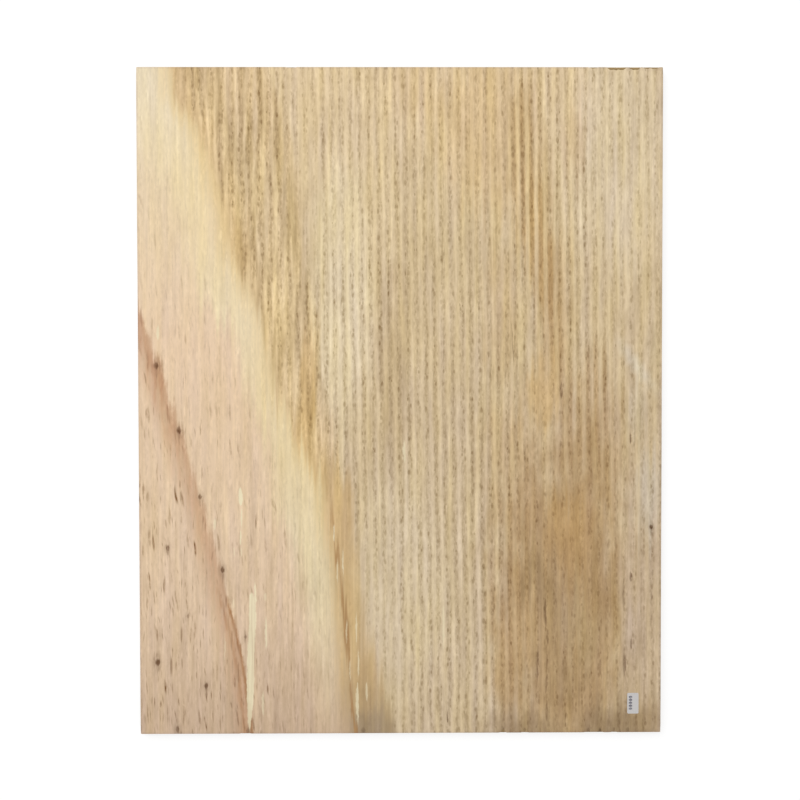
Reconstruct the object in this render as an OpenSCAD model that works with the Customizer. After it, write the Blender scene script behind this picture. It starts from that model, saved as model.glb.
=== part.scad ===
// Plywood sheet: a flat rectangular panel, sawn square, with a small paper
// price label stuck to its upper face. It lies flat on its underside, the
// face grain runs along Y, and the origin is the middle of the underside.

/* [Sheet] */
// Width across the face grain
sheet_w = 550; // [300:1:1220]
// Length along the face grain
sheet_l = 700; // [300:1:2440]
// Thickness through all the bonded veneers
sheet_t = 12; // [3:0.5:30]
// Bevel where the sawn arrises are eased
arris = 0.4; // [0.1:0.1:1]
// Radius worn onto the four corners, seen from above
corner_r = 1.5; // [1:0.1:10]

/* [Label] */
// Width of the paper, across the sheet
label_w = 12; // [8:0.5:40]
// Length of the paper, along the sheet
label_l = 22; // [10:0.5:60]
// Thickness of the paper
label_t = 0.1; // [0.05:0.05:0.3]
// Corner radius of the paper
label_r = 0.8; // [0.2:0.1:3]
// Bare face between the label and the sheet's right edge
label_side_gap = 23.5; // [5:0.5:100]
// Bare face between the label and the sheet's lower end
label_end_gap = 20; // [5:0.5:100]

/* [Hidden] */
// Segments in a full circle, for the corners
corner_segments = 48;
// Centre of the label, measured in from the right edge and the lower end
label_x = sheet_w / 2 - label_side_gap - label_w / 2;
label_y = -sheet_l / 2 + label_end_gap + label_l / 2;

// Rectangle about the origin with its corners rounded
module rounded_rectangle(across, along, radius) {
    square([across - 2 * radius, along], center = true);
    square([across, along - 2 * radius], center = true);
    for (side = [-1, 1], end = [-1, 1])
        translate([side * (across / 2 - radius), end * (along / 2 - radius)])
            circle(r = radius, $fn = corner_segments);
}

// Section through the sheet, eased at its four arrises, for one way across
module eased_section(across) {
    edge = across / 2;
    polygon([
        [-edge + arris, 0],
        [edge - arris, 0],
        [edge, arris],
        [edge, sheet_t - arris],
        [edge - arris, sheet_t],
        [-edge + arris, sheet_t],
        [-edge, sheet_t - arris],
        [-edge, arris]
    ]);
}

// The panel: its plan and its two sections meet in one solid
module plywood_sheet() {
    color([0.85, 0.73, 0.54])
        intersection() {
            linear_extrude(sheet_t)
                rounded_rectangle(sheet_w, sheet_l, corner_r);
            rotate([90, 0, 0])
                linear_extrude(sheet_l, center = true)
                    eased_section(sheet_w);
            rotate([90, 0, 90])
                linear_extrude(sheet_w, center = true)
                    eased_section(sheet_l);
        }
}

// The paper label, lying on the upper face by the lower right corner
module price_label() {
    color([0.83, 0.83, 0.87])
        translate([label_x, label_y, sheet_t])
            linear_extrude(label_t)
                rounded_rectangle(label_w, label_l, label_r);
}

plywood_sheet();
price_label();
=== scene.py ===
import math
import bpy
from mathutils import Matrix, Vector
from mathutils.bvhtree import BVHTree


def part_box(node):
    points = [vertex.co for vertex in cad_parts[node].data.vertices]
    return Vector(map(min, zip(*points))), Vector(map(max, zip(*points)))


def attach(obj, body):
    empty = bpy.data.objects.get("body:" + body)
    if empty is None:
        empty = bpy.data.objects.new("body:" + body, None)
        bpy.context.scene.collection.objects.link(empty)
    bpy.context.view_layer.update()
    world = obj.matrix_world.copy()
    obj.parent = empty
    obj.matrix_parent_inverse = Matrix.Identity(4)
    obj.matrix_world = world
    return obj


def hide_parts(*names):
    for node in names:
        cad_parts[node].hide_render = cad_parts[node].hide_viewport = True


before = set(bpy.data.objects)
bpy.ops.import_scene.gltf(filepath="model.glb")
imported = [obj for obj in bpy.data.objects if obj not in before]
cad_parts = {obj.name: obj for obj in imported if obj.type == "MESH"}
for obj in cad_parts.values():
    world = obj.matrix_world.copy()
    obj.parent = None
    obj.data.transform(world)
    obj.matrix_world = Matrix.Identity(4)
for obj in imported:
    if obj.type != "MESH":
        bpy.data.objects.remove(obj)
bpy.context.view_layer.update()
sheetLow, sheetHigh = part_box("plywood_sheet")
labelLow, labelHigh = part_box("price_label")
scene = bpy.context.scene
scene.view_settings.view_transform = "Standard"

mm = 0.001
sheetWide = (sheetHigh.x - sheetLow.x) / mm
sheetLong = (sheetHigh.y - sheetLow.y) / mm
sheetThick = (sheetHigh.z - sheetLow.z) / mm
print("frame loaded: sheet %.0f x %.0f x %.0f mm" % (sheetWide, sheetLong, sheetThick))


# a value in a node tree that can be reckoned with like a number

class Flow:
    def __init__(self, tree, socket):
        self.tree = tree
        self.socket = socket

    def __add__(self, other):
        return reckon("ADD", self, other)

    def __sub__(self, other):
        return reckon("SUBTRACT", self, other)

    def __rsub__(self, other):
        return reckon("SUBTRACT", other, self)

    def __mul__(self, other):
        return reckon("MULTIPLY", self, other)

    def __rmul__(self, other):
        return reckon("MULTIPLY", other, self)

    def __truediv__(self, other):
        return reckon("DIVIDE", self, other)

    def __pow__(self, other):
        return reckon("POWER", self, other)

    def __gt__(self, other):
        return reckon("GREATER_THAN", self, other)

    def __lt__(self, other):
        return reckon("LESS_THAN", self, other)

    def __abs__(self):
        return reckon("ABSOLUTE", self)


def isVector(value):
    if isinstance(value, Flow):
        return value.socket.type in ("VECTOR", "RGBA")
    return isinstance(value, (tuple, Vector))


def treeOf(values):
    return next(value.tree for value in values if isinstance(value, Flow))


def feed(value, socket):
    if isinstance(value, Flow):
        value.tree.links.new(value.socket, socket)
        return
    if socket.type == "VECTOR" and not isVector(value):
        value = (value, value, value)
    if socket.type == "RGBA" and len(value) == 3:
        value = (*value, 1.0)
    socket.default_value = value


def addNode(tree, kind, inputs=(), **settings):
    node = tree.nodes.new(kind)
    for name, value in settings.items():
        setattr(node, name, value)
    for key, value in dict(inputs).items():
        feed(value, node.inputs[key])
    return node


def valueOf(tree, kind, inputs=(), output=0, **settings):
    return Flow(tree, addNode(tree, kind, inputs, **settings).outputs[output])


def reckon(operation, *values):
    kind = "ShaderNodeVectorMath" if any(isVector(value) for value in values) else "ShaderNodeMath"
    output = "Value" if operation == "LENGTH" else 0
    return valueOf(treeOf(values), kind, enumerate(values), output, operation=operation)


def largest(first, *others):
    for other in others:
        first = reckon("MAXIMUM", first, other)
    return first


def scaled(value, change, mean):
    return value * change + mean


def weighted(values, shares):
    total, *others = [value * share for value, share in zip(values, shares)]
    for other in others:
        total = total + other
    return total


def joined(*values):
    return valueOf(treeOf(values), "ShaderNodeCombineXYZ", enumerate(values))


def parts(vector):
    node = addNode(vector.tree, "ShaderNodeSeparateXYZ", {"Vector": vector})
    return [Flow(vector.tree, socket) for socket in node.outputs]


def smooth(value, low, high, toLow=0.0, toHigh=1.0):
    spread = {"Value": value, "From Min": low, "From Max": high, "To Min": toLow, "To Max": toHigh}
    return valueOf(value.tree, "ShaderNodeMapRange", spread, interpolation_type="SMOOTHSTEP")


def blend(share, first, second):
    # the Mix node has its own sockets for numbers and for vectors
    kind, slot, output = ("VECTOR", 4, 1) if isVector(first) or isVector(second) else ("FLOAT", 2, 0)
    inputs = {0: share, slot: first, slot + 1: second}
    return valueOf(share.tree, "ShaderNodeMix", inputs, output, data_type=kind, clamp_factor=True)


def noise(place, detail=1.0, roughness=0.5):
    # about -1 to 1 around zero
    inputs = {"Vector": place, "Scale": 1.0, "Detail": detail, "Roughness": roughness}
    return valueOf(place.tree, "ShaderNodeTexNoise", inputs, noise_dimensions="3D") * 4.0 - 2.0


def cloud(place, across, along, seed=0.0, detail=1.0, roughness=0.5):
    # noise in cells that are so many mm across and along
    seedStep = Vector((1.0, 0.37, 1.7))
    return noise(place * (1 / across, 1 / along, 0.0) + seed * seedStep, detail, roughness)


def paint(red, green, blue):
    # a colour as it looks on screen, 0 to 255, made linear
    out = []
    for part in (red, green, blue):
        part = part / 255
        out.append(part / 12.92 if part <= 0.04045 else ((part + 0.055) / 1.055) ** 2.4)
    return tuple(out)


def scaleTone(amount, change):
    # 1 plus the change of each colour channel
    return amount * change + (1.0, 1.0, 1.0)


def shaded(colour, amount):
    # lighter for amounts over zero, darker and browner below
    grainTint = (0.50, 0.56, 0.65)
    darkest = (0.05, 0.04, 0.03)
    return colour * largest(scaleTone(amount, grainTint), darkest)


def pathOver(value, points, low, high, reach):
    # a curve drawn through the given points: value runs low to high, the path runs -reach to reach
    node = addNode(value.tree, "ShaderNodeFloatCurve", {"Value": (value - low) / (high - low)})
    curve = node.mapping.curves[0]
    node.mapping.use_clip = False
    spots = sorted(((at - low) / (high - low), (to + reach) / (2 * reach)) for at, to in points)
    for spot, place in zip(spots[:2], curve.points):
        place.location = spot
    for spot in spots[2:]:
        curve.points.new(*spot)
    for place in curve.points:
        place.handle_type = "AUTO_CLAMPED"
    node.mapping.update()
    return Flow(value.tree, node.outputs[0]) * (2 * reach) - reach


def toneOver(value, stops, low, high):
    # colour stops along the sheet, given in millimetres
    node = addNode(value.tree, "ShaderNodeValToRGB", {0: (value - low) / (high - low)})
    elements = node.color_ramp.elements
    spots = sorted(((at - low) / (high - low), colour) for at, colour in stops)
    while len(elements) < len(spots):
        elements.new(0.5)
    for element, (at, colour) in zip(elements, spots):
        element.position = at
    for element, (at, colour) in zip(elements, spots):
        element.color = (*paint(*colour), 1.0)
    return Flow(value.tree, node.outputs[0])


def newGroup(name, kind, inputs, outputs):
    tree = bpy.data.node_groups.new(name, kind)
    for label, socketKind, default in inputs:
        socket = tree.interface.new_socket(label, in_out="INPUT", socket_type="NodeSocket" + socketKind)
        if default is not None:
            socket.default_value = default
    for label, socketKind in outputs:
        tree.interface.new_socket(label, in_out="OUTPUT", socket_type="NodeSocket" + socketKind)
    given = {socket.name: Flow(tree, socket) for socket in tree.nodes.new("NodeGroupInput").outputs}
    return tree, given, tree.nodes.new("NodeGroupOutput").inputs


def useGroup(tree, group, inputs):
    kind = "GeometryNodeGroup" if tree.bl_idname == "GeometryNodeTree" else "ShaderNodeGroup"
    node = addNode(tree, kind, inputs, node_tree=group)
    return [Flow(tree, socket) for socket in node.outputs]


# the growth rings that stand out as ribs along the face

ribs = {
    "pitch": 9.48,  # mm from ridge to ridge
    "lean": 0.0143,  # mm sideways for each mm along
    "bend": 0.0000285,  # the ribs close up a little to the right
    "start": -0.421,  # share of a pitch at the middle of the sheet
    "sway": 1.0,  # mm that a rib wanders
    "swayCell": (45.0, 160.0, 8.3),
    "curl": 0.45,  # mm of finer wander
    "looseCurl": 1.9,  # and how much more where the ribs run loose
    "curlCell": (20.0, 46.0, 4.9),
    "loose": [((-70, -115), (40, 140)), ((100, 50), (-150, -230))],  # the olive strip and the lower edge
    "depth": 0.16,  # mm from ridge to valley
}


def ribWave(across, along):
    spot = joined(across, along)
    loose = largest(*(smooth(across, *wide) * smooth(along, *tall) for wide, tall in ribs["loose"]))
    place = across + along * ribs["lean"] + across * across * ribs["bend"]
    place += cloud(spot, *ribs["swayCell"]) * ribs["sway"]
    place += cloud(spot, *ribs["curlCell"]) * (loose * ribs["looseCurl"] + ribs["curl"])
    turn = place / ribs["pitch"] + ribs["start"]
    return reckon("COSINE", turn * (2 * math.pi))


# where the tones of the face lie, in mm from the middle: along (+Y) first, then across (+X)

veneer = {
    "heartEdge": [(350, -240), (315, -232), (284, -211), (252, -198), (205, -184), (157, -174),
                  (115, -155), (70, -141), (42, -136), (11, -131), (-22, -114), (-50, -97), (-80, -77),
                  (-129, -71), (-162, -66), (-225, -59), (-308, -53), (-350, -48)],
    "pinkEdge": [(350, -290), (284, -275), (217, -240), (149, -221), (106, -206), (77, -180), (14, -160),
                 (-67, -135), (-112, -132), (-149, -113), (-219, -102), (-282, -92), (-350, -88)],
    "oliveEdge": [(350, -138), (230, -104), (160, -100), (90, -88), (20, -75), (-50, -68), (-85, -56),
                  (-155, -46), (-225, -33), (-295, -20), (-350, -5)],
    "darkStreak": [(350, -330), (97, -273), (34, -252), (-34, -232), (-102, -211), (-187, -189),
                   (-261, -170), (-314, -162), (-350, -158)],
    "scarMiddle": [(-180, -157.3), (-202, -157.4), (-221, -156.4), (-262, -157.8), (-297, -158.8),
                   (-350, -160.4)],
    "scarHalf": [(-190, 0.6), (-202, 1.6), (-212, 2.4), (-221, 3.9), (-297, 4.0), (-314, 3.3), (-332, 2.4),
                 (-350, 0.6)],
    "scarTop": -199.0,
    "waterStain": ((180, -190), (78, 190), 0, 0.4),  # middle, half size, turn, softness
    "spotTint": (0.09, 0.11, 0.15),  # change of each colour channel
    "bandTint": (0.29, 0.33, 0.41),
    # the ramps run lighter at the upper end and darker at the lower end: partly the veneer's own tone,
    # partly painted shade of light falling off away from the upper left
    "sapTonesAndShade": [(345, (232, 217, 187)), (230, (226, 204, 169)), (60, (227, 199, 167)),
                 (-100, (223, 196, 164)), (-230, (217, 190, 160)), (-345, (200, 173, 145))],
    "goldTonesAndShade": [(345, (230, 214, 183)), (230, (230, 209, 168)), (176, (228, 206, 166)),
                  (90, (233, 214, 176)), (-60, (227, 206, 163)), (-190, (226, 208, 171)),
                  (-286, (216, 193, 160)), (-345, (199, 173, 144))],
    "oliveTonesAndShade": [(345, (208, 181, 139)), (230, (206, 181, 139)), (20, (211, 185, 142)),
                   (-110, (203, 173, 126)), (-270, (198, 168, 123)), (-345, (176, 151, 118))],
    "heartTonesAndShade": [(345, (217, 193, 154)), (200, (211, 188, 149)), (40, (206, 183, 146)),
                   (-150, (205, 183, 149)), (-300, (206, 184, 150)), (-345, (203, 181, 147))],
}

# soft patches of the ribbed part: middle, half size (across and along), turn, softness, colour, strength
stains = [
    ((-62, 115), (28, 130), 0, 0.5, (223, 204, 168), 0.9),  # pale strip beside the olive one
    ((0, -185), (44, 110), 0, 0.5, (213, 193, 159), 0.8),
    ((-8, 48), (16, 105), 0, 0.5, (195, 171, 134), 0.9),
    ((45, 160), (35, 40), 0, 0.6, (200, 177, 138), 0.6),
    ((20, 325), (28, 45), 0, 0.6, (210, 183, 142), 0.8),
    ((90, 290), (45, 80), 0, 0.6, (212, 183, 137), 0.8),
    ((228, 260), (48, 120), 0, 0.5, (216, 196, 162), 0.9),
    ((264, 335), (16, 30), 0, 0.5, (205, 184, 150), 0.6),
    ((105, 105), (18, 60), 0, 0.5, (197, 170, 129), 0.7),
    ((182, 285), (12, 40), 0, 0.5, (205, 179, 141), 0.8),
    ((125, -60), (35, 60), 0, 0.6, (197, 169, 128), 0.7),
    ((141, 195), (20, 160), -9, 0.5, (202, 175, 131), 0.85),  # ground of the brown ribs
    ((163, 85), (18, 90), 0, 0.5, (194, 165, 121), 0.7),
    ((205, -35), (42, 60), 0, 0.6, (190, 162, 122), 0.8),
    ((172, -215), (68, 175), 0, 0.45, (180, 149, 108), 0.95),  # the large water stain
    ((142, -186), (13, 28), 0, 0.5, (163, 136, 98), 0.7),
    ((163, -245), (9, 50), 0, 0.5, (166, 138, 100), 0.6),
    ((172, -297), (18, 20), 0, 0.5, (163, 135, 98), 0.6),
    ((178, -140), (22, 40), 0, 0.5, (182, 147, 101), 0.8),
    ((207, -195), (16, 26), 0, 0.5, (170, 139, 99), 0.6),
    ((188, -243), (18, 34), 0, 0.5, (181, 155, 118), 0.7),
    ((112, -280), (14, 60), 0, 0.5, (189, 158, 116), 0.7),
    ((133, -247), (17, 34), 0, 0.5, (195, 166, 125), 0.75),
    ((150, 10), (16, 34), 0, 0.5, (206, 174, 125), 0.8),
    ((-96, 20), (9, 60), 4, 0.5, (207, 174, 121), 0.8),  # amber in the olive strip
    ((256, -215), (20, 140), 0, 0.4, (197, 173, 142), 0.9),
    ((261, -103), (12, 44), 0, 0.5, (203, 187, 163), 0.85),  # whitish smears by the right edge
    ((249, -15), (10, 36), 0, 0.5, (205, 187, 158), 0.7),
    ((265, 55), (9, 24), 0, 0.5, (195, 174, 138), 0.6),
    ((-36, -344), (24, 17), 0, 0.5, (160, 140, 115), 0.7),  # darker along the lower edge: partly grime, partly painted shade of light falling off towards the lower right
    ((125, -345), (42, 18), 0, 0.5, (160, 135, 102), 0.8),
    ((226, -344), (34, 24), 0, 0.5, (148, 123, 91), 0.8),
    ((262, -338), (16, 24), 0, 0.5, (164, 138, 104), 0.6),
    ((-166, 172), (12, 30), -10, 0.6, (188, 158, 112), 0.5),  # dark start of the olive strip
]

# one whitish smear that crosses the grain
rub = {
    "middle": (249, 37),
    "halfSize": (6, 28),
    "turn": -37,  # degrees
    "softness": 0.6,
    "tone": (215, 200, 173),
    "strength": 0.85,
}

# valleys that hold more brown: middle, half size, turn, strength
brownRibs = [
    ((144, 170), (15, 125), -9, 0.85),
    ((200, -20), (30, 70), 0, 0.4),
    ((120, -215), (22, 140), 0, 0.3),
    ((-150, 250), (40, 110), -12, 0.15),
]

# how far the ribs stand out: middle, half size, softness, change
ribForces = [
    ((140, 250), (20, 110), 0.5, 0.75),
    ((-100, 200), (22, 70), 0.5, -0.85),
    ((-90, 330), (25, 50), 0.5, -0.4),
    ((100, 190), (16, 90), 0.5, -0.4),
    ((60, -150), (22, 120), 0.6, 0.3),
    ((45, -50), (60, 120), 0.5, 0.25),
    ((0, 220), (70, 120), 0.5, -0.1),
    ((35, -265), (55, 85), 0.5, 0.1),
    ((-20, 150), (14, 150), 0.5, 0.2),
    ((182, 140), (16, 120), 0.5, 0.45),
    ((192, -230), (78, 190), 0.3, -0.75),
    ((-150, 180), (34, 110), 0.5, 0.25),
    ((-40, -270), (50, 110), 0.5, -0.55),
    ((245, 150), (40, 230), 0.4, -0.4),
    ((145, 0), (22, 50), 0.5, -0.5),
]

# single marks: across, along, half width, half length, lean, tone (1 pale torn grain, -1 dark)
marks = [
    (-256, 39, 2.9, 14.0, 0.0, -0.85), (-232.5, -29, 3.1, 15.0, 0.0, -0.92),
    (-211, -99, 2.3, 11.0, 0.0, -0.9), (-245, -153, 2.3, 11.0, 0.0, -0.9),
    (-188, -176, 2.7, 13.0, 0.0, -0.88), (-224, -225, 1.9, 9.0, 0.0, -0.6),
    (-256.5, -274, 3.0, 14.0, 0.0, -0.92), (-205.5, -299, 2.6, 12.5, 0.0, -0.88),
    (-236, -345, 2.6, 12.0, 0.0, -0.8), (-164, -247, 1.7, 7.0, 0.0, -0.6),
    (264, -132, 1.9, 9.0, -0.1, -0.95), (-168, -99, 2.4, 11.0, -0.06, 0.9),
    (-167, -121, 0.9, 14.0, 0.0, 0.8), (-168.5, -142, 1.5, 9.0, 0.05, 0.85),
    (-168, -157, 1.1, 6.0, 0.0, 0.6), (-175.5, -157, 1.0, 7.0, 0.0, 0.7),
    (-195.5, -128, 1.2, 7.0, 0.0, 0.55), (-153.2, -204, 1.2, 19.0, 0.0, 0.9),
    (-185.5, -258, 0.9, 17.0, 0.0, 0.45), (-176, -212, 0.9, 6.0, 0.0, 0.5),
    (-142, -243, 1.5, 19.0, 0.0, 0.7), (-146, -318, 1.2, 15.0, 0.0, 0.5), (-143, -205, 1.4, 5.0, 0.0, 0.4),
    (-70, -138, 1.0, 11.0, 0.0, 0.75), (-61, -168, 1.1, 17.0, -0.02, 0.7), (-67, -178, 1.0, 15.0, 0.0, 0.6),
    (-57, -242, 0.9, 14.0, 0.0, 0.6), (-47, -238, 1.1, 19.0, 0.0, 0.6), (-54, -284, 1.2, 14.0, 0.0, 0.6),
    (-45, -276, 0.9, 16.0, 0.0, 0.6), (-46, -318, 1.7, 27.0, 0.0, 0.7), (-36, -306, 1.5, 12.0, 0.0, 0.55),
    (4, -52, 1.8, 13.0, 0.0, 0.6), (45, -238, 1.5, 26.0, 0.0, 0.45), (-254, 74, 1.6, 9.0, 0.0, 0.7),
    (118, 58, 0.9, 30.0, -0.08, -0.5), (169, 12, 1.8, 10.0, 0.0, -0.55), (242, -38, 1.3, 7.0, 0.0, -0.7),
    (243, -184, 1.2, 6.5, 0.0, -0.7), (235.5, -203, 1.7, 18.0, 0.0, -0.3),
    (243.5, -256, 1.2, 6.5, 0.0, -0.7), (236, -276, 1.7, 17.0, 0.0, -0.42),
    (211, -281, 1.5, 10.0, 0.0, -0.28), (144.5, -279, 1.7, 19.0, 0.0, -0.5),
    (152.7, -223, 2.0, 17.0, -0.03, -0.42), (155.2, -248, 1.8, 9.0, 0.0, -0.42),
    (154.4, -275, 1.6, 9.0, 0.06, -0.36), (153.6, -298, 1.6, 12.0, 0.06, -0.42),
    (154.2, -328, 1.5, 11.0, 0.0, -0.42), (174.5, -336, 1.5, 8.0, 0.0, -0.3),
    (49, -333, 1.2, 7.0, 0.0, -0.8), (108, -348, 2.2, 4.0, 0.0, -0.4), (131, -347, 1.7, 4.0, 0.0, -0.45),
    (198, -348, 2.1, 4.0, 0.0, -0.4), (211, -347.5, 1.9, 4.0, 0.0, -0.5), (226, -347, 1.8, 4.0, 0.0, -0.45),
    (240, -347, 1.6, 4.0, 0.0, -0.35), (-40, -347, 2.4, 5.0, 0.0, -0.35), (-162, -347, 2.2, 5.0, 0.0, -0.5),
    (265, -205, 1.2, 6.2, 0.0, -0.4), (266, -180, 0.9, 5.0, 0.0, -0.3), (265, -230, 1.1, 9.0, 0.0, -0.28),
    (265, -251, 0.9, 5.0, 0.0, -0.32),
]

markForm = {
    "searchSqueeze": 0.12,  # how much the search for the nearest mark is squeezed along the grain
    "spindleTaper": 2.5,
    "spindleLeast": -0.4,  # in half widths, beyond the tips
    "spindleEdge": (-0.2, 0.8),  # mm
    "knotRatio": 5.0,  # a dark mark that is shorter than so many widths is a knot
    "knotStretch": 1.75,  # how much longer than wide a knot is
    "knotRound": (1.5, 1.3),  # powers across and along
    "knotEdge": (1.35, 0.3),  # in knot sizes
    "haloEdge": (4.2, 0.8),
    "haloTone": 0.22,
    "tailWide": 0.8,  # in half widths
    "tailEdge": (-1.0, 0.8),  # mm
    "tailFade": (2.0, -3.0, 0.2, 0.45),  # mm up and down from the middle, and the tone there
    "scarEdge": (-0.5, 0.7),  # mm
    "scarTopFade": 3.0,  # mm
    "scarTopFray": 2.0,  # how much more ragged the top is than the sides
}


def markPoints():
    mesh = bpy.data.meshes.new("veneerMarks")
    squeeze = markForm["searchSqueeze"]
    mesh.from_pydata([(mark[0] * mm, mark[1] * mm * squeeze, 0.0) for mark in marks], [], [])
    centres = mesh.attributes.new("markCentre", "FLOAT_VECTOR", "POINT")
    sizes = mesh.attributes.new("markSize", "FLOAT_VECTOR", "POINT")
    for i, (across, along, wide, tall, lean, tone) in enumerate(marks):
        centres.data[i].vector = (across, along, lean)
        sizes.data[i].vector = (wide, tall, tone)
    obj = bpy.data.objects.new("veneerMarks", mesh)
    scene.collection.objects.link(obj)
    return obj


def markMask(across, along, centre, size, ragged):
    # long marks are spindles, short dark ones are knots with a halo and a tail
    middleX, middleY, lean = parts(centre)
    halfWide, halfLong, tone = parts(size)
    up = along - middleY
    side = abs(across - (up * lean + middleX) + ragged)
    share = abs(up / halfLong)
    room = largest(1.0 - share ** markForm["spindleTaper"], markForm["spindleLeast"])
    spindle = smooth(halfWide * room - side, *markForm["spindleEdge"])
    powerX, powerY = markForm["knotRound"]
    away = (side / halfWide) ** powerX + (abs(up) / (halfWide * markForm["knotStretch"])) ** powerY
    halo = smooth(away, *markForm["haloEdge"]) * markForm["haloTone"]
    thin = (1.0 - share) * halfWide * markForm["tailWide"]
    tail = smooth(thin - side, *markForm["tailEdge"]) * smooth(up, *markForm["tailFade"])
    knot = largest(smooth(away, *markForm["knotEdge"]), halo, tail)
    isKnot = (halfLong < halfWide * markForm["knotRatio"]) * (tone < 0.0)
    return blend(isKnot, spindle, knot)


def scarMask(along, inside, ragged):
    top = veneer["scarTop"]
    below = smooth(along + ragged * markForm["scarTopFray"], top, top - markForm["scarTopFade"])
    return smooth(inside + ragged, *markForm["scarEdge"]) * below


# the sheet: a fine block whose face carries the ribs and whose edges carry the plies

sheetForm = {
    "columns": 441,  # grid lines across the face
    "rows": 81,  # grid lines along the face
    "layers": 19,  # grid lines through the thickness
    "arris": 0.4,  # mm broken off every long edge
    "rimShare": 0.29,  # part of the arris that the rim itself is drawn in
    "corner": 1.5,  # mm radius of the upright corners
    "scarDepth": 0.35,  # mm that torn grain lies below the face
    "setback": 0.22,  # mm that the cross plies lie behind the others at the edges
    "threadDepth": (0.04, 0.06),  # mm of fine fibres on the face and on the underside
    "sawCell": (14.0, 1.2),  # mm along the edge and up
    "seed": 5.5,  # of the saw's marks
    "faceVeneer": 1.1,  # mm, the two outer plies
    "corePlies": 5,
    "plyEdge": (-0.15, 0.15),  # softness of the step from ply to ply
    "sawShare": 0.5,  # of the setback
    "sharpAngle": 0.3,  # radians, past which an edge isn't shaded smooth
    "faceTilt": 0.6,  # how far up or down a face of the mesh looks to be veneer
}

# noise of the sheet: mm across and along, seed, detail, roughness
sheetGrain = {
    "lift": (4.0, 400.0, 3.1, 2.0),
    "drift": (14.0, 70.0, 7.7, 2.0),
    "blotch": (24.0, 52.0, 3.3, 3.0, 0.6),
    "spots": (12.0, 26.0, 6.6, 2.0, 0.6),
    "bands": (7.5, 85.0, 8.8, 2.0, 0.6),
    "uneven": (9.0, 60.0, 5.2),
    "threads": (5.0, 120.0, 2.2),
    "jag": (3.5, 90.0, 2.8, 2.0, 0.6),
}

# splinters broken off the upper rim: end (1 far, -1 near), from and to (across), depth
chips = [
    (1, 217, 236, 3.1), (1, 240, 251, 2.9), (1, 254, 270, 1.7), (1, 198, 206, 1.3), (1, -118, -108, 0.7),
    (-1, 104, 112, 0.6), (-1, 127, 134, 0.7), (-1, 194, 214, 0.6), (-1, 222, 229, 0.7),
    (-1, -170, -158, 0.5),
]
chipForm = {
    "thick": 0.8,  # mm of veneer that a splinter takes along
    "jagSide": 1.5,  # mm that its sides are frayed
    "jagDepth": (0.35, 0.9),  # how much the depth changes, around this share
    "slope": (1.0, -2.5),  # mm outside and inside of its ends
    "reach": 2.0,  # mm from the end of the sheet
}

# where a field of the face fades in: from and to in mm, then the strengths if not 0 and 1
fieldFades = {
    "feather": (-345.0, -270.0, 8.0, 30.0),  # ends in mm
    "fingers": (60.0, 200.0, 24.0, 14.0),  # ends in mm
    "pink": (-14.0, 16.0),
    "olive": (5.0, -6.0),
    "bands": (-150.0, -60.0),
    "ribStart": (0.0, 14.0),
    "smoothStrip": (-40.0, -110.0),
}

# how much the noise and the strips act on the fields
fieldShares = {
    "stainDrift": 4.0,  # mm
    "pinkDrift": 5.0,  # mm
    "oliveDrift": 4.0,  # mm
    "wander": 0.3,  # in half sizes of a patch
    "spots": (0.55, 0.45),  # more of them in the water stain, some everywhere
    "uneven": 0.55,  # how much the ribs' strength changes
    "smoothRibs": 0.9,  # what the smooth strip takes from the ribs
    "smoothSpecks": 0.5,  # and from the specks
    "speckLimit": 1.2,  # rib strength past which the specks don't grow
    "speckByRib": (0.5, 0.5),  # what the ribs add, and the least
    "speckInOlive": 0.15,
    "speckInStain": 0.3,
}


def softPatchGroup():
    tree, given, out = newGroup(
        "soft patch",
        "GeometryNodeTree",
        [("Place", "Vector", None), ("Middle", "Vector", None), ("Half Size", "Vector", (1.0, 1.0, 1.0)),
         ("Turn", "Float", 0.0), ("Softness", "Float", 0.5), ("Wander", "Float", 0.0)],
        [("Mask", "Float")],
    )
    off = {"Vector": given["Place"] - given["Middle"], "Angle": given["Turn"]}
    turned = valueOf(tree, "ShaderNodeVectorRotate", off, rotation_type="Z_AXIS")
    reach = reckon("LENGTH", turned * (1.0, 1.0, 0.0) / given["Half Size"]) + given["Wander"]
    feed(smooth(reach, given["Softness"] + 1.0, 1.0 - given["Softness"]), out["Mask"])
    return tree


def plyCount(height):
    # 0 at the lower seam of the core, a whole number at each seam above
    coreThick = (sheetThick - 2 * sheetForm["faceVeneer"]) / sheetForm["corePlies"]
    return (height - sheetForm["faceVeneer"]) / coreThick


def plyShare(height):
    # 0 in plies whose grain runs along the sheet, 1 in the cross plies
    ply = plyCount(height)
    wave = reckon("COSINE", (ply - 0.5) * math.pi)
    return smooth(wave, *sheetForm["plyEdge"]) * (ply > 0.0) * (ply < sheetForm["corePlies"])


def chipDepth(x, y, height):
    jag = cloud(joined(x, y), *sheetGrain["jag"])
    depth = 0.0
    for end, start, stop, most in chips:
        half = (stop - start) / 2
        away = abs(x - (start + stop) / 2) + jag * chipForm["jagSide"]
        inside = smooth(away, *(half + slope for slope in chipForm["slope"]))
        nearEnd = y * end > sheetLong / 2 - chipForm["reach"]
        depth = largest(depth, inside * nearEnd * most)
    depth = largest(depth * scaled(jag, *chipForm["jagDepth"]), 0.0)
    return depth * (height > sheetThick - chipForm["thick"])


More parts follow.
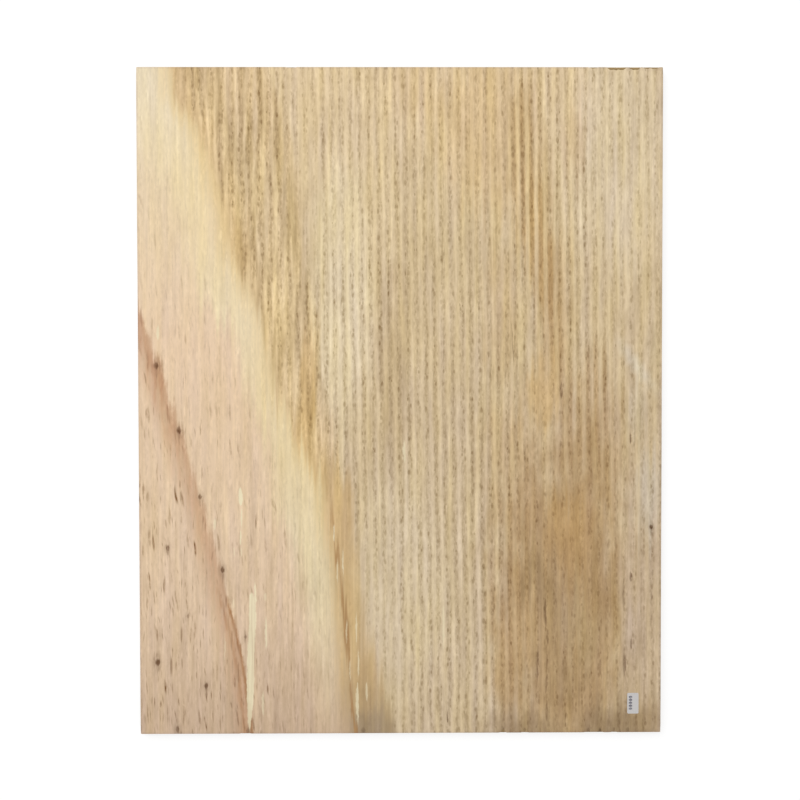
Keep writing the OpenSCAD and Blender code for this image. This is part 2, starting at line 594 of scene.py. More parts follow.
def sheetTree():
    sizes = [("Columns", "Int", "columns"), ("Rows", "Int", "rows"), ("Layers", "Int", "layers"),
             ("Arris", "Float", "arris"), ("Corner", "Float", "corner"),
             ("Scar Depth", "Float", "scarDepth"), ("Setback", "Float", "setback"),
             ("Seed", "Float", "seed")]
    tree, given, out = newGroup(
        "plywood sheet",
        "GeometryNodeTree",
        [("Geometry", "Geometry", None), ("Size", "Vector", (sheetWide, sheetLong, sheetThick)),
         ("Rib Depth", "Float", ribs["depth"])]
        + [(name, kind, sheetForm[key]) for name, kind, key in sizes]
        + [("Marks", "Object", None), ("Face Finish", "Material", None), ("Edge Finish", "Material", None),
           ("Back Finish", "Material", None)],
        [("Geometry", "Geometry")],
    )
    half = given["Size"] * 0.5
    shape = valueOf(tree, "GeometryNodeMeshCube", {
        "Size": given["Size"] * mm, "Vertices X": given["Columns"], "Vertices Y": given["Rows"],
        "Vertices Z": given["Layers"]}, "Mesh")
    place = valueOf(tree, "GeometryNodeInputPosition") * (1 / mm)

    # grid lines next to an edge move out to the arris
    counts = joined(given["Columns"], given["Rows"], given["Layers"])
    cell = given["Size"] / (counts - 1.0)
    spread = parts(place * ((half - given["Arris"]) / (half - cell)))
    halves = parts(half)
    on = []
    axes = []
    for was, now, limit, step in zip(parts(place), spread, halves, parts(cell)):
        onEdge = abs(was) > limit - step * 0.5
        on.append(onEdge)
        axes.append(blend(onEdge, now, was))
    x, y, z = axes

    # the rim between face and edge is rounded off by part of the arris
    rim = largest(on[0], on[1]) * on[2] * given["Arris"] * sheetForm["rimShare"]
    x = x * (1.0 - rim * on[0] / halves[0])
    y = y * (1.0 - rim * on[1] / halves[1])
    z = z * (1.0 - rim / halves[2])

    # upright corners are round in plan
    over = [largest(abs(axis) - (limit - given["Corner"]), 0.0) for axis, limit in zip((x, y), halves)]
    reach = reckon("SQRT", over[0] * over[0] + over[1] * over[1])
    pull = reckon("MINIMUM", given["Corner"] / largest(reach, 0.001), 1.0)
    x, y = [reckon("SIGN", axis) * (abs(axis) - extra + extra * pull) for axis, extra in zip((x, y), over)]
    height = z + halves[2]
    flat = joined(x, y)

    # tones and grain fields of the face
    patch = softPatchGroup()
    lift = cloud(flat, *sheetGrain["lift"])
    drift = cloud(flat, *sheetGrain["drift"])
    feathered = flat + joined(drift * fieldShares["stainDrift"], lift * smooth(y, *fieldFades["feather"]))
    wander = cloud(flat, *sheetGrain["blotch"]) * fieldShares["wander"]
    fingers = y + lift * smooth(y, *fieldFades["fingers"])

    def pathAlong(name, at=y, reach=sheetWide * 0.7):
        return pathOver(at, veneer[name], -sheetLong / 2, sheetLong / 2, reach)

    def toneAlong(name):
        return toneOver(y, veneer[name], -sheetLong / 2, sheetLong / 2)

    def patchMask(at, middle, halfSize, turn=0.0, softness=0.5, roam=wander):
        return useGroup(tree, patch, {
            "Place": at, "Middle": (*middle, 0.0), "Half Size": (*halfSize, 1.0),
            "Turn": math.radians(turn), "Softness": softness, "Wander": roam})[0]

    fromHeart = x - pathAlong("heartEdge", fingers)
    fromPink = x - pathAlong("pinkEdge", fingers) + drift * fieldShares["pinkDrift"]
    fromOlive = x - pathAlong("oliveEdge", fingers) + drift * fieldShares["oliveDrift"]
    fromStreak = x - pathAlong("darkStreak")
    inOlive = smooth(fromOlive, *fieldFades["olive"])
    # the tone ramps also carry painted shade, darker towards the lower end
    sapTone = blend(smooth(fromPink, *fieldFades["pink"]), toneAlong("sapTonesAndShade"), toneAlong("goldTonesAndShade"))
    heartTone = blend(inOlive, toneAlong("heartTonesAndShade"), toneAlong("oliveTonesAndShade"))
    for middle, halfSize, turn, softness, colour, strength in stains:
        mask = patchMask(feathered, middle, halfSize, turn, softness)
        heartTone = blend(mask * strength, heartTone, paint(*colour))
    rubbed = patchMask(flat, rub["middle"], rub["halfSize"], rub["turn"], rub["softness"])
    heartTone = blend(rubbed * rub["strength"], heartTone, paint(*rub["tone"]))
    stained = patchMask(flat, *veneer["waterStain"])
    spots = cloud(flat, *sheetGrain["spots"]) * scaled(stained, *fieldShares["spots"])
    bands = cloud(feathered, *sheetGrain["bands"]) * inOlive * smooth(y, *fieldFades["bands"])
    heartTone = heartTone * scaleTone(spots, veneer["spotTint"]) * scaleTone(bands, veneer["bandTint"])

    brown = 0.0
    for middle, halfSize, turn, strength in brownRibs:
        brown = largest(brown, patchMask(feathered, middle, halfSize, turn) * strength)

    ribForce = smooth(fromHeart, *fieldFades["ribStart"])
    for middle, halfSize, softness, change in ribForces:
        mask = patchMask(feathered, middle, halfSize, softness=softness, roam=0.0)
        ribForce = ribForce * (mask * change + 1.0)
    # the lower olive strip is smooth
    smoothStrip = inOlive * smooth(y, *fieldFades["smoothStrip"])
    uneven = cloud(flat, *sheetGrain["uneven"]) * fieldShares["uneven"]
    ribForce = ribForce * (1.0 - smoothStrip * fieldShares["smoothRibs"]) * (uneven + 1.0)
    speckForce = reckon("MINIMUM", ribForce, fieldShares["speckLimit"])
    speckForce = scaled(speckForce, *fieldShares["speckByRib"])
    speckForce = speckForce * (1.0 - smoothStrip * fieldShares["smoothSpecks"])
    speckForce = speckForce * (inOlive * fieldShares["speckInOlive"] + 1.0)
    speckForce = speckForce + stained * fieldShares["speckInStain"]

    # the long torn scar
    scarReach = 8.0
    inScar = pathAlong("scarHalf", reach=scarReach) - abs(x - pathAlong("scarMiddle", reach=sheetWide))

    # the mark that lies nearest
    source = valueOf(tree, "GeometryNodeObjectInfo", {"Object": given["Marks"]}, "Geometry")
    search = {"Geometry": source, "Sample Position": joined(x, y * markForm["searchSqueeze"]) * mm}
    nearest = valueOf(tree, "GeometryNodeSampleNearest", search)
    found = {}
    for name in ("markCentre", "markSize"):
        value = valueOf(tree, "GeometryNodeInputNamedAttribute", {"Name": name}, data_type="FLOAT_VECTOR")
        sample = {"Geometry": source, "Index": nearest, "Value": value}
        found[name] = valueOf(tree, "GeometryNodeSampleIndex", sample, data_type="FLOAT_VECTOR")

    # relief of the face, the underside and the edges
    onFace = on[2] * (height > halves[2])
    onBack = on[2] * (height < halves[2])
    valley = ribWave(x, y) * -0.5 + 0.5
    threads = smooth(cloud(flat, *sheetGrain["threads"]), -1.0, 1.0)
    faceThread, backThread = sheetForm["threadDepth"]
    torn = largest(markMask(x, y, found["markCentre"], found["markSize"], 0.0), scarMask(y, inScar, 0.0))
    faceDrop = valley * ribForce * given["Rib Depth"] + threads * faceThread + torn * given["Scar Depth"]
    cross = plyShare(height)
    back = blend(on[1] * (1.0 - on[0]), cross, 1.0 - cross)
    saw = cloud(joined(x + y, height), *sheetForm["sawCell"], given["Seed"], 2.0)
    setIn = (back + abs(saw) * sheetForm["sawShare"]) * given["Setback"] * (1.0 - on[2])
    x = x - reckon("SIGN", x) * on[0] * setIn
    y = y - reckon("SIGN", y) * on[1] * setIn
    y = y - reckon("SIGN", y) * chipDepth(x, y, height)
    height = height - onFace * faceDrop + onBack * threads * backThread

    kept = {
        "sapTone": (sapTone, "POINT"),
        "heartTone": (heartTone, "POINT"),
        "grainFields": (joined(fromHeart, ribForce, speckForce), "POINT"),
        "streakFields": (joined(fromStreak, inScar, brown), "POINT"),
        "markCentre": (found["markCentre"], "FACE"),
        "markSize": (found["markSize"], "FACE"),
    }
    for name, (value, domain) in kept.items():
        inputs = {"Geometry": shape, "Name": name, "Value": value}
        shape = valueOf(tree, "GeometryNodeStoreNamedAttribute", inputs,
                        data_type="FLOAT_VECTOR", domain=domain)
    moved = {"Geometry": shape, "Position": joined(x, y, height) * mm}
    shape = valueOf(tree, "GeometryNodeSetPosition", moved)

    sharp = valueOf(tree, "GeometryNodeInputMeshEdgeAngle") > sheetForm["sharpAngle"]
    for domain, where, isSmooth in (("FACE", True, True), ("EDGE", sharp, False)):
        inputs = {"Geometry": shape, "Selection": where, "Shade Smooth": isSmooth}
        shape = valueOf(tree, "GeometryNodeSetShadeSmooth", inputs, domain=domain)
    shape = valueOf(tree, "GeometryNodeRealizeInstances", {"Geometry": shape})
    facing = parts(valueOf(tree, "GeometryNodeInputNormal"))[2]
    tilt = sheetForm["faceTilt"]
    places = {"Edge Finish": True, "Face Finish": facing > tilt, "Back Finish": facing < -tilt}
    for name, where in places.items():
        inputs = {"Geometry": shape, "Material": given[name], "Selection": where}
        shape = valueOf(tree, "GeometryNodeSetMaterial", inputs)
    feed(shape, out["Geometry"])
    return tree


# finishes

def fibreGroup():
    tree, given, out = newGroup(
        "wood fibres", "ShaderNodeTree",
        [("Place", "Vector", None), ("Cell", "Vector", (0.5, 0.02, 0.0)), ("Seed", "Float", 0.0)],
        [("Fine", "Float"), ("Broad", "Float")])
    cells = given["Place"] * given["Cell"] + given["Seed"]
    feed(noise(cells, 1.0, 0.6), out["Fine"])
    broadScale = 0.31
    feed(noise(cells * broadScale), out["Broad"])
    return tree


poreForm = {
    "size": (0.9, 0.35),  # what chance adds, and the least
    "core": 0.35,  # part of the size that is full dark
    "tone": (0.6, 0.4),  # what chance adds, and the least
}


def poreGroup():
    tree, given, out = newGroup(
        "open pores", "ShaderNodeTree",
        [("Place", "Vector", None), ("Cell", "Vector", (0.2, 0.02, 0.0)), ("Lean", "Float", 0.0),
         ("Size", "Float", 0.2), ("Share", "Float", 0.6)],
        [("Mask", "Float")])
    x, y = parts(given["Place"])[:2]
    cells = joined(y * given["Lean"] + x, y) * given["Cell"]
    dots = addNode(tree, "ShaderNodeTexVoronoi", {"Vector": cells, "Scale": 1.0},
                   voronoi_dimensions="2D", feature="F1")
    chance = parts(Flow(tree, dots.outputs["Color"]))
    size = given["Size"] * scaled(chance[1], *poreForm["size"])
    inside = smooth(Flow(tree, dots.outputs["Distance"]), size, size * poreForm["core"])
    feed(inside * (chance[0] < given["Share"]) * scaled(chance[2], *poreForm["tone"]), out["Mask"])
    return tree


fibres = fibreGroup()
pores = poreGroup()


def threadsOf(place, across, along, seed):
    return useGroup(place.tree, fibres, {"Place": place, "Cell": (1 / across, 1 / along, 0.0), "Seed": seed})


def poresOf(place, across, along, lean, size, share):
    return useGroup(place.tree, pores, {
        "Place": place, "Cell": (1 / across, 1 / along, 0.0), "Lean": lean, "Size": size, "Share": share})[0]


def newFinish(name, roughness):
    finish = bpy.data.materials.new(name)
    finish.use_nodes = True
    tree = finish.node_tree
    shader = tree.nodes["Principled BSDF"].inputs
    shader["Roughness"].default_value = roughness
    shader["Specular IOR Level"].default_value = 0.25
    return finish, shader, valueOf(tree, "ShaderNodeTexCoord", (), "Object") * (1 / mm)


def attribute(tree, name):
    return valueOf(tree, "ShaderNodeAttribute", (), "Vector", attribute_name=name)


def emboss(shader, height, strength, distance):
    inputs = {"Height": height, "Strength": strength, "Distance": distance * mm}
    feed(valueOf(height.tree, "ShaderNodeBump", inputs), shader["Normal"])


faceLook = {
    "threads": (2.4, 75.0, 3.0),  # mm across and along, seed
    "ribTone": 0.19,  # how much paler a ridge is than the mean
    "grainTone": (0.18, 0.12, 0.10),  # fine threads, broad ones, mottle
    "patchTone": 0.09,
    "speckTone": 0.32,
    "dotTone": 0.50,
    "shredTone": 0.14,
    "fleckTone": 0.22,
    "dash": (-0.46, -0.53, -0.60),
    "hueShift": (0.015, 0.008, -0.08),
    "sapGrain": (0.6, 0.95),  # how much of the grain the smooth part shows, far and near end
    "amber": (-0.05, -0.12, -0.27),  # how the smooth part changes towards the ribs
    "warmStart": (0.03, 0.0, -0.06),  # and the ribs towards the smooth part
    "brownRib": (-0.12, -0.22, -0.36),
    "paleScar": (234, 222, 187),
    "darkMark": (-0.80, -0.88, -0.94),
    "vein": (164, 124, 78),
    "streak": (188, 144, 110),
    "streakLine": (160, 112, 68),
    # painted shade along the rim of the face
    "rim": (-0.11, -0.12, -0.08),
    # the ply bared by splinters: its own brown, with painted shade by the step and a painted highlight at
    # its outer rim
    "ledgeShadedInner": (146, 121, 80),
    "ledgeLitOuter": (186, 160, 116),
    "heartFray": (3.0, 2.6, 2.0),  # mm that broad threads, fine ones and shreds move the ribs' edge
    "streakFray": (3.0, 1.5, 2.2),  # and the dark streak
    "secondStrand": (6.5, 0.5),  # mm beside the first, strength
    "markFray": (0.6, 0.8),  # mm by which specks and fine threads move the edge of a mark
    "veinFray": 1.5,  # mm
    "strandFray": 1.5,  # mm
    "rimShadeFray": 0.7,  # mm
    "sapHue": 0.6,  # how much of the change of hue the smooth part shows
    "sapSpecks": 0.45,
    "ribPatches": 0.3,
    "valleySpecks": (0.5, 0.6),  # more of them in the valleys, some everywhere
    "valleyDots": (0.85, 0.15),
    "poreBend": 2.4,  # mm
    "hairTone": 0.7,
    "scarTone": (0.2, 0.8),  # change by fine threads, mean
    "scarGrain": 0.15,
    "markSpeckle": 0.5,
    "ribEdge": 4.0,  # mm from the edge where the ribbed part is full
    "rimShadeEdge": 0.3,  # mm from the edge where the painted rim shade is full
    "ledgeReach": 3.6,  # mm from the end
    "ledgeGrain": 0.2,
    "rough": 0.80,
    "roughShares": (0.1, 0.03),  # what dots and specks add
    "relief": (0.3, -0.6, -0.6, -1.0, -1.5),  # fine threads, dots, dashes, marks and the scar
    "bump": (0.35, 0.1),  # strength, mm
}

# noise of the face: mm across and along, seed, detail, roughness
faceGrain = {
    "ragged": (2.2, 6.5, 1.3, 2.0, 0.65),
    "mottle": (20.0, 60.0, 9.4, 2.0),
    "patches": (5.0, 18.0, 6.2),
    "shreds": (3.6, 24.0, 7.1),
    "hue": (9.0, 110.0, 4.6),
    "bent": (11.0, 42.0, 2.7),
}

# pores of the face: mm across and along, lean, size, share of the cells that hold one
facePores = {
    "dots": (3.4, 7.2, 0.0, 0.52, 0.7),
    "hairs": (3.4, 30.0, 0.05, 0.25, 0.7),
    "dashes": (6.0, 46.0, 0.07, 0.26, 0.62),
    "flecks": (7.5, 36.0, -0.02, 0.2, 0.45),
}

# where an effect fades in along the sheet: from and to in mm, then the strengths if not 0 and 1
fadesAlong = {
    "softEdge": (0.0, -130.0, -7.0, -18.0),  # ends in mm
    "amber": (60.0, 220.0, 0.6, 1.0),
    "warmStart": (60.0, 200.0, 0.4, 1.0),
    "vein": (-90.0, -140.0),
    "streakTop": (140.0, 90.0),
    "streak": (20.0, -80.0, 0.95, 0.65),
    "streakLine": (-175.0, -225.0),
    "sapGrain": (0.0, -200.0),
    "dashes": (330.0, -200.0, 0.25, 1.05),
}

# and where it fades in across an edge or a line
fadesAcross = {
    "amber": (-24.0, -1.0),
    "warmStart": (34.0, 2.0),
    "vein": (3.0, 0.3),
    "streakRight": (5.5, -2.0),
    "streakLeft": (-28.0, -3.0),
    "strand": (2.8, 0.2),
    "secondStrand": (3.0, 0.2),
    "dashesFromStreak": (5.0, -25.0, 0.75, 1.15),
    "dashesFromRibs": (-20.0, -70.0, 0.25, 1.0),
    "rimShadeWide": (200.0, 260.0, 2.8, 4.6),  # ends in mm, the painted rim shade widening towards the right edge
    "ledge": (0.3, 0.5),
    "ledgeLitOuter": (0.75, 1.05),
}

# and how it comes and goes with the noise
fadesByNoise = {
    "vein": (-1.0, 0.3, 0.35, 0.8),
    "streak": (-1.4, 1.0, 0.65, 1.0),
    "streakLine": (-1.4, 0.8, 0.35, 0.85),
    "valley": (0.6, -0.5),
    "dashes": (1.2, -0.7, 0.35, 1.0),
    "darkMark": (1.0, -0.5, 0.6, 1.0),
}


def faceFinish():
    finish, shader, place = newFinish("faceVeneer", faceLook["rough"])
    tree = place.tree
    across, along, height = parts(place)
    fromHeart, ribForce, speckForce = parts(attribute(tree, "grainFields"))
    fromStreak, inScar, brown = parts(attribute(tree, "streakFields"))
    fine, broad = threadsOf(place, *faceLook["threads"])
    wave = ribWave(across, along)
    ragged, mottle, patches, shreds, hue, bent = [cloud(place, *row) for row in faceGrain.values()]

    def frayed(value, broadShare, fineShare, shredShare):
        return value + broad * broadShare + fine * fineShare + shreds * shredShare + ragged

    def alongSheet(name):
        return smooth(along, *fadesAlong[name])

    def acrossIt(name, value):
        return smooth(value, *fadesAcross[name])

    def byNoise(name, value):
        return smooth(value, *fadesByNoise[name])

    # the ribbed part begins with long feathered fingers, softer towards the lower edge
    edge = frayed(fromHeart, *faceLook["heartFray"])
    inHeart = smooth(edge, alongSheet("softEdge"), faceLook["ribEdge"])
    notHeart = 1.0 - inHeart
    amber = acrossIt("amber", edge) * alongSheet("amber")
    warm = acrossIt("warmStart", edge) * alongSheet("warmStart")
    sapTone = attribute(tree, "sapTone") * scaleTone(amber, faceLook["amber"])
    heartTone = attribute(tree, "heartTone") * scaleTone(warm, faceLook["warmStart"])
    tone = blend(inHeart, sapTone, heartTone)

    # the brown vein between the two, lower half only
    vein = acrossIt("vein", abs(fromHeart + fine * faceLook["veinFray"])) * alongSheet("vein")
    tone = blend(vein * byNoise("vein", mottle), tone, paint(*faceLook["vein"]))

    # the slanting dark streak of the smooth part, a thin line near its lower end
    patchy = mottle + shreds
    beside = frayed(fromStreak, *faceLook["streakFray"])
    streak = acrossIt("streakRight", beside) * acrossIt("streakLeft", beside) * notHeart
    streak = streak * alongSheet("streakTop") * alongSheet("streak")
    tone = blend(streak * byNoise("streak", patchy), tone, paint(*faceLook["streak"]))
    strand = fromStreak + fine + ragged
    aside, strength = faceLook["secondStrand"]
    apart = abs(strand + shreds * faceLook["strandFray"] + aside)
    second = acrossIt("secondStrand", apart) * strength
    line = largest(acrossIt("strand", abs(strand)), second) * alongSheet("streakLine")
    tone = blend(line * byNoise("streakLine", patchy), tone, paint(*faceLook["streakLine"]))

    # yellower and pinker threads, browner valleys
    valley = byNoise("valley", wave)
    tone = tone * scaleTone(hue * blend(inHeart, faceLook["sapHue"], 1.0), faceLook["hueShift"])
    tone = tone * scaleTone(valley * brown * inHeart, faceLook["brownRib"])

    # grain that lightens and darkens
    grain = weighted((fine, broad, mottle), faceLook["grainTone"])
    grain = grain + notHeart * shreds * faceLook["shredTone"]
    grain = grain * blend(inHeart, smooth(along, *fadesAlong["sapGrain"], *faceLook["sapGrain"]), 1.0)
    ribbed = wave * ribForce * (patches * faceLook["ribPatches"] + 1.0) * faceLook["ribTone"]
    grain = grain + (ribbed + patches * faceLook["patchTone"]) * inHeart
    specks = ragged * blend(inHeart, faceLook["sapSpecks"], speckForce)
    specks = specks * scaled(valley, *faceLook["valleySpecks"])
    dots = poresOf(place, *facePores["dots"]) * inHeart * speckForce
    dots = dots * scaled(valley, *faceLook["valleyDots"])
    curved = place + joined(bent * faceLook["poreBend"])
    flecks = poresOf(curved, *facePores["flecks"]) * notHeart
    hairs = poresOf(curved, *facePores["hairs"]) * faceLook["hairTone"]
    dashes = poresOf(curved, *facePores["dashes"]) + hairs
    dashes = dashes * notHeart * acrossIt("dashesFromStreak", fromStreak) * alongSheet("dashes")
    dashes = dashes * acrossIt("dashesFromRibs", edge) * byNoise("dashes", ragged + fine)
    grain = grain + specks * faceLook["speckTone"] + flecks * faceLook["fleckTone"]
    grain = grain - dots * faceLook["dotTone"]
    colour = shaded(tone, grain) * scaleTone(dashes, faceLook["dash"])

    # knots, torn grain and other single marks
    size = attribute(tree, "markSize")
    torn = weighted((ragged, fine), faceLook["markFray"])
    mark = markMask(across, along, attribute(tree, "markCentre"), size, torn)
    markTone = parts(size)[2]
    scar = scarMask(along, inScar, torn)
    pale = largest(mark * largest(markTone, 0.0), scar * scaled(fine, *faceLook["scarTone"]))
    speckle = byNoise("darkMark", ragged + fine * faceLook["markSpeckle"])
    dark = mark * largest(markTone * -1.0, 0.0) * speckle
    colour = blend(pale, colour, shaded(paint(*faceLook["paleScar"]), fine * faceLook["scarGrain"]))
    colour = colour * scaleTone(dark, faceLook["darkMark"])

    # painted shade along the rim of the face, and the ply that shows where splinters are gone
    sideGap = sheetWide / 2 - abs(across)
    endGap = sheetLong / 2 - abs(along)
    gap = reckon("MINIMUM", sideGap, endGap) + ragged * faceLook["rimShadeFray"]
    rim = smooth(gap, acrossIt("rimShadeWide", across), faceLook["rimShadeEdge"])
    colour = colour * scaleTone(rim, faceLook["rim"])
    below = sheetThick - height
    ledge = acrossIt("ledge", below) * (endGap < faceLook["ledgeReach"])
    # the bared ply is darker near the step as painted shade and paler at its outer rim as painted highlight
    shadedInner, litOuter = paint(*faceLook["ledgeShadedInner"]), paint(*faceLook["ledgeLitOuter"])
    ledgeToneAndShade = blend(acrossIt("ledgeLitOuter", below), shadedInner, litOuter)
    ledgeToneAndShade = shaded(ledgeToneAndShade, ragged * faceLook["ledgeGrain"])
    feed(blend(ledge, colour, ledgeToneAndShade), shader["Base Color"])
    feed(weighted((dots, ragged), faceLook["roughShares"]) + faceLook["rough"], shader["Roughness"])
    relief = weighted((fine, dots, dashes, mark, scar), faceLook["relief"])
    emboss(shader, relief, *faceLook["bump"])
    return finish


backLook = {
    "pale": (214, 186, 140),
    "deep": (188, 154, 108),
    "threads": (3.0, 90.0, 11.0),
    "bands": (46.0, 420.0, 6.1, 2.0),
    "pores": (5.0, 40.0, 0.02, 0.16, 0.7),
    "bandEdge": (-0.8, 0.8),
    "grainTone": (0.1, 0.08, -0.4),  # fine threads, broad ones, pores
    "rough": 0.85,
    "relief": (0.4, -0.6),  # fine threads, pores
    "bump": (0.3, 0.1),  # strength, mm
}


def backFinish():
    finish, shader, place = newFinish("backVeneer", backLook["rough"])
    fine, broad = threadsOf(place, *backLook["threads"])
    bands = smooth(cloud(place, *backLook["bands"]), *backLook["bandEdge"])
    tone = blend(bands, paint(*backLook["pale"]), paint(*backLook["deep"]))
    dots = poresOf(place, *backLook["pores"])
    feed(shaded(tone, weighted((fine, broad, dots), backLook["grainTone"])), shader["Base Color"])
    emboss(shader, weighted((fine, dots), backLook["relief"]), *backLook["bump"])
    return finish


edgeLook = {
    "longGrain": (214, 184, 138),
    "endGrain": (172, 134, 92),
    "glue": (112, 82, 54),
    "glueStrength": 0.75,
    "glueEdge": (0.10, 0.03),  # in plies
    "glueFray": 0.01,
    "threads": (0.5, 30.0, 5.0),
    "grainTone": (0.12, 0.1),  # fine threads, broad ones
    "endReach": 1.2,  # mm from the end that are drawn as the end
    "rough": 0.9,
    "relief": (0.4, -1.0),  # fine threads, glue
    "bump": (0.5, 0.15),  # strength, mm
}


def edgeFinish():
    finish, shader, place = newFinish("sawnPlyEdge", edgeLook["rough"])
    x, y, height = parts(place)
    cross = plyShare(height)
    atEnd = abs(y) > sheetLong / 2 - edgeLook["endReach"]
    endGrain = blend(atEnd, cross, 1.0 - cross)
    fine, broad = threadsOf(joined(height, x + y), *edgeLook["threads"])
    tone = blend(endGrain, paint(*edgeLook["longGrain"]), paint(*edgeLook["endGrain"]))
    seam = reckon("PINGPONG", plyCount(height), 0.5)
    glue = smooth(seam + fine * edgeLook["glueFray"], *edgeLook["glueEdge"])
    colour = shaded(tone, weighted((fine, broad), edgeLook["grainTone"]))
    feed(blend(glue * edgeLook["glueStrength"], colour, paint(*edgeLook["glue"])), shader["Base Color"])
    emboss(shader, weighted((fine, glue), edgeLook["relief"]), *edgeLook["bump"])
    return finish


def meshFromNodes(name, tree, settings):
    # runs the tree on an empty mesh and keeps the result as a plain mesh
    carrier = bpy.data.objects.new(name, bpy.data.meshes.new(name))
    scene.collection.objects.link(carrier)
    modifier = carrier.modifiers.new("build", "NODES")
    modifier.node_group = tree
    for item in tree.interface.items_tree:
        if item.in_out == "INPUT" and item.name in settings:
            modifier[item.identifier] = settings[item.name]
    carrier.update_tag()
    depsgraph = bpy.context.evaluated_depsgraph_get()
    depsgraph.update()
    seen = carrier.evaluated_get(depsgraph)
    mesh = bpy.data.meshes.new_from_object(seen, preserve_all_data_layers=True, depsgraph=depsgraph)
    carrier.modifiers.remove(modifier)
    carrier.data = mesh
    mesh.name = name
    return carrier


markSource = markPoints()
sheet = meshFromNodes("plywood_veneer_sheet", sheetTree(), {
    "Marks": markSource, "Face Finish": faceFinish(), "Edge Finish": edgeFinish(),
    "Back Finish": backFinish()})
bpy.data.objects.remove(markSource)
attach(sheet, "root")
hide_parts("plywood_sheet")
print("sheet built: %d faces, finishes %s" % (
    len(sheet.data.polygons), [m.name for m in sheet.data.materials if m]))


# the small paper label, pressed on to the ribs

labelLook = {
    "corner": 1.3,  # mm
    "cornerSteps": 6,
    "rings": (1.0, 0.97, 0.86, 0.7, 0.5, 0.25),
    "cling": 0.6,  # how far the paper follows the ribs below it
    "castFrom": 10.0,  # mm above the label, to find the ribs
    "paper": (200, 197, 195),
    "print": (92, 90, 102),
    "pulp": (1.5, 0.05),  # mm, tone
    "tickMiddle": (-2.5, 0.5),  # mm from the middle of the label
    "tickReach": (7.8, 7.4),  # mm, half the row's length
    "tickHalfPitch": 1.55,  # mm
    "tickStart": 32.05,  # mm
    "tickEdge": (0.4, 0.8),  # mm
    "tickHalf": (2.0, 1.5),  # mm
    "stemHalf": (0.9, 0.5),  # mm
    "stemTone": 0.65,
    "wornCell": 2.2,  # mm
    "worn": (-1.4, 0.0, 0.45, 1.0),  # noise from and to, ink left at both
    "inkTone": 0.9,
    "rough": 0.6,
    "bump": (0.15, 0.02),  # strength, mm
}


def labelOutline():
    middle = (labelLow + labelHigh) / 2
    radius = labelLook["corner"] * mm
    halfX = (labelHigh.x - labelLow.x) / 2 - radius
    halfY = (labelHigh.y - labelLow.y) / 2 - radius
    points = []
    for corner, (sx, sy) in enumerate(((1, 1), (-1, 1), (-1, -1), (1, -1))):
        for step in range(labelLook["cornerSteps"] + 1):
            turn = math.pi / 2 * (corner + step / labelLook["cornerSteps"])
            swing = Vector((math.cos(turn), math.sin(turn))) * radius
            points.append(Vector((sx * halfX, sy * halfY)) + swing)
    return middle.to_2d(), points


def labelMesh():
    middle, outline = labelOutline()
    face = BVHTree.FromObject(sheet, bpy.context.evaluated_depsgraph_get())
    flat = [middle + point * ring for ring in labelLook["rings"] for point in outline] + [middle]
    drop = []
    for spot in flat:
        start = Vector((*spot, labelHigh.z + labelLook["castFrom"] * mm))
        hit = face.ray_cast(start, Vector((0, 0, -1)))[0]
        drop.append((hit.z - labelLow.z) * labelLook["cling"])
    points = [(*spot, level + low) for level in (labelHigh.z, labelLow.z) for spot, low in zip(flat, drop)]
    count, around, rings = len(flat), len(outline), len(labelLook["rings"])
    faces = []
    for i in range(around):
        j = (i + 1) % around
        faces.append([i, i + count, j + count, j])
        for ring in range(rings):
            a, b = ring * around + i, ring * around + j
            loop = [a, b, b + around, a + around] if ring + 1 < rings else [a, b, count - 1]
            faces.append(loop)
            faces.append([k + count for k in reversed(loop)])
    mesh = bpy.data.meshes.new("price_label_paper")
    mesh.from_pydata(points, [], faces)
    mesh.polygons.foreach_set("use_smooth", [False] * len(faces))
    return mesh


def labelFinish():
    finish, shader, place = newFinish("labelPaper", labelLook["rough"])
    middle = (labelLow + labelHigh) / 2 / mm
    x, y = parts(place - (middle.x, middle.y, 0.0))[:2]
    pulpCell, pulpTone = labelLook["pulp"]
    pulp = noise(place * (1 / pulpCell), 3.0)
    colour = shaded(paint(*labelLook["paper"]), pulp * pulpTone)
    # a worn row of plain ticks along the left side
    tickX, tickY = labelLook["tickMiddle"]
    aside = abs(x - tickX)
    within = smooth(abs(y - tickY), *labelLook["tickReach"])
    row = reckon("PINGPONG", y + labelLook["tickStart"], labelLook["tickHalfPitch"])
    tick = smooth(aside, *labelLook["tickHalf"]) * smooth(row, *labelLook["tickEdge"])
    stem = smooth(aside, *labelLook["stemHalf"]) * labelLook["stemTone"]
    worn = smooth(noise(place * (1 / labelLook["wornCell"])), *labelLook["worn"])
    ink = largest(tick, stem) * within * worn * labelLook["inkTone"]
    feed(blend(ink, colour, paint(*labelLook["print"])), shader["Base Color"])
    emboss(shader, pulp, *labelLook["bump"])
    return finish


label = bpy.data.objects.new("price_label_paper", labelMesh())
scene.collection.objects.link(label)
label.data.materials.append(labelFinish())
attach(label, "root")
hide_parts("price_label")
print("label built")


# floor, light and camera

stageLook = {
    "floorSize": 8.0,  # m
    "floorDrop": 0.0006,  # m below the sheet, so that the two never share a plane
    "floorShade": 0.30,  # the part of the floor that takes light and shadow
    "floorGlow": 0.75,  # the rest of its white
    "worldLevel": 0.61,
    "lampSize": 2.2,  # m
    "lampPlace": (-1.0, 1.3, 2.6),
    "lampWatts": 48.0,
    "camera": (-0.0089, 0.0302, 1.1786),  # m
    "cameraTurn": (-1.358, -0.413, -0.089),  # degrees
    "lens": 50.0,  # mm
    "sensor": 36.0,  # mm
}


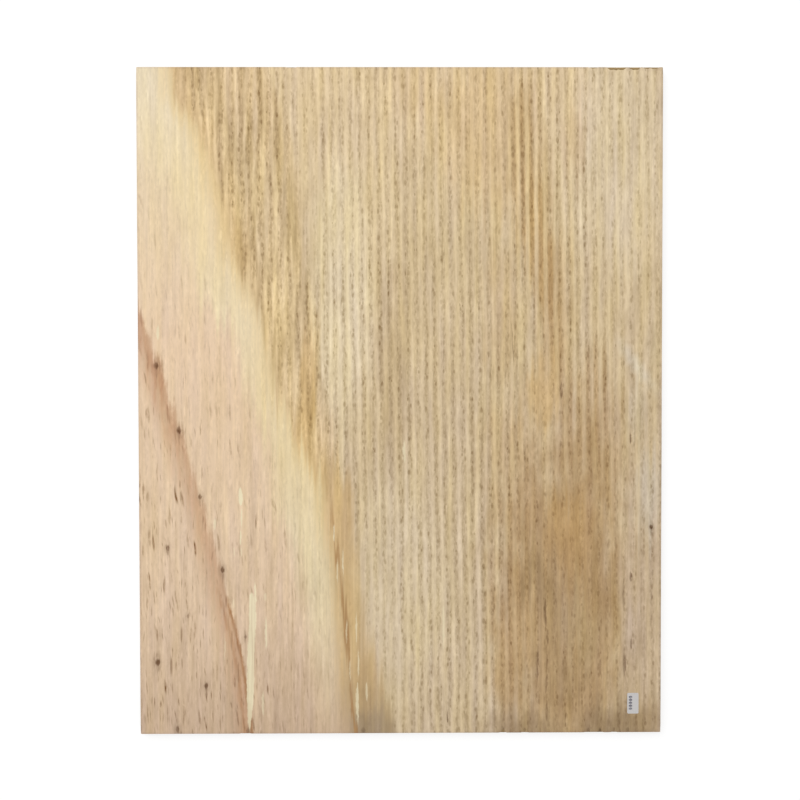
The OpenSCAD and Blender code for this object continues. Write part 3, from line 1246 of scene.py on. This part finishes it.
def seenDirectly(tree):
    rays = addNode(tree, "ShaderNodeLightPath").outputs
    seen = ("Is Camera Ray", "Is Glossy Ray", "Is Transmission Ray")
    return largest(*(Flow(tree, rays[name]) for name in seen))


def makeFloor():
    reach = stageLook["floorSize"] / 2
    low = -stageLook["floorDrop"]
    corners = [(-reach, -reach, low), (reach, -reach, low), (reach, reach, low), (-reach, reach, low)]
    mesh = bpy.data.meshes.new("floor")
    mesh.from_pydata(corners, [], [(0, 1, 2, 3)])
    floor = bpy.data.objects.new("floor", mesh)
    scene.collection.objects.link(floor)
    finish = bpy.data.materials.new("paleFloor")
    finish.use_nodes = True
    tree = finish.node_tree
    shader = tree.nodes["Principled BSDF"].inputs
    shade = stageLook["floorShade"]
    feed((shade, shade, shade), shader["Base Color"])
    feed(1.0, shader["Roughness"])
    feed(0.0, shader["Specular IOR Level"])
    feed((1.0, 1.0, 1.0), shader["Emission Color"])
    feed(seenDirectly(tree) * stageLook["floorGlow"], shader["Emission Strength"])
    mesh.materials.append(finish)


def makeLight():
    world = bpy.data.worlds.new("softStudio")
    scene.world = world
    world.use_nodes = True
    back = world.node_tree.nodes["Background"].inputs
    feed((1.0, 1.0, 1.0), back["Color"])
    feed(blend(seenDirectly(world.node_tree), stageLook["worldLevel"], 1.0), back["Strength"])
    lamp = bpy.data.lights.new("softbox", "AREA")
    lamp.shape = "SQUARE"
    lamp.size = stageLook["lampSize"]
    lamp.energy = stageLook["lampWatts"]
    box = bpy.data.objects.new("softbox", lamp)
    scene.collection.objects.link(box)
    box.location = stageLook["lampPlace"]
    box.rotation_euler = (-Vector(stageLook["lampPlace"])).to_track_quat("-Z", "Y").to_euler()


def makeCamera():
    data = bpy.data.cameras.new("camera")
    data.lens = stageLook["lens"]
    data.sensor_width = stageLook["sensor"]
    camera = bpy.data.objects.new("camera", data)
    scene.collection.objects.link(camera)
    camera.location = stageLook["camera"]
    camera.rotation_euler = [math.radians(turn) for turn in stageLook["cameraTurn"]]
    scene.camera = camera


makeFloor()
makeLight()
makeCamera()
print("stage set")
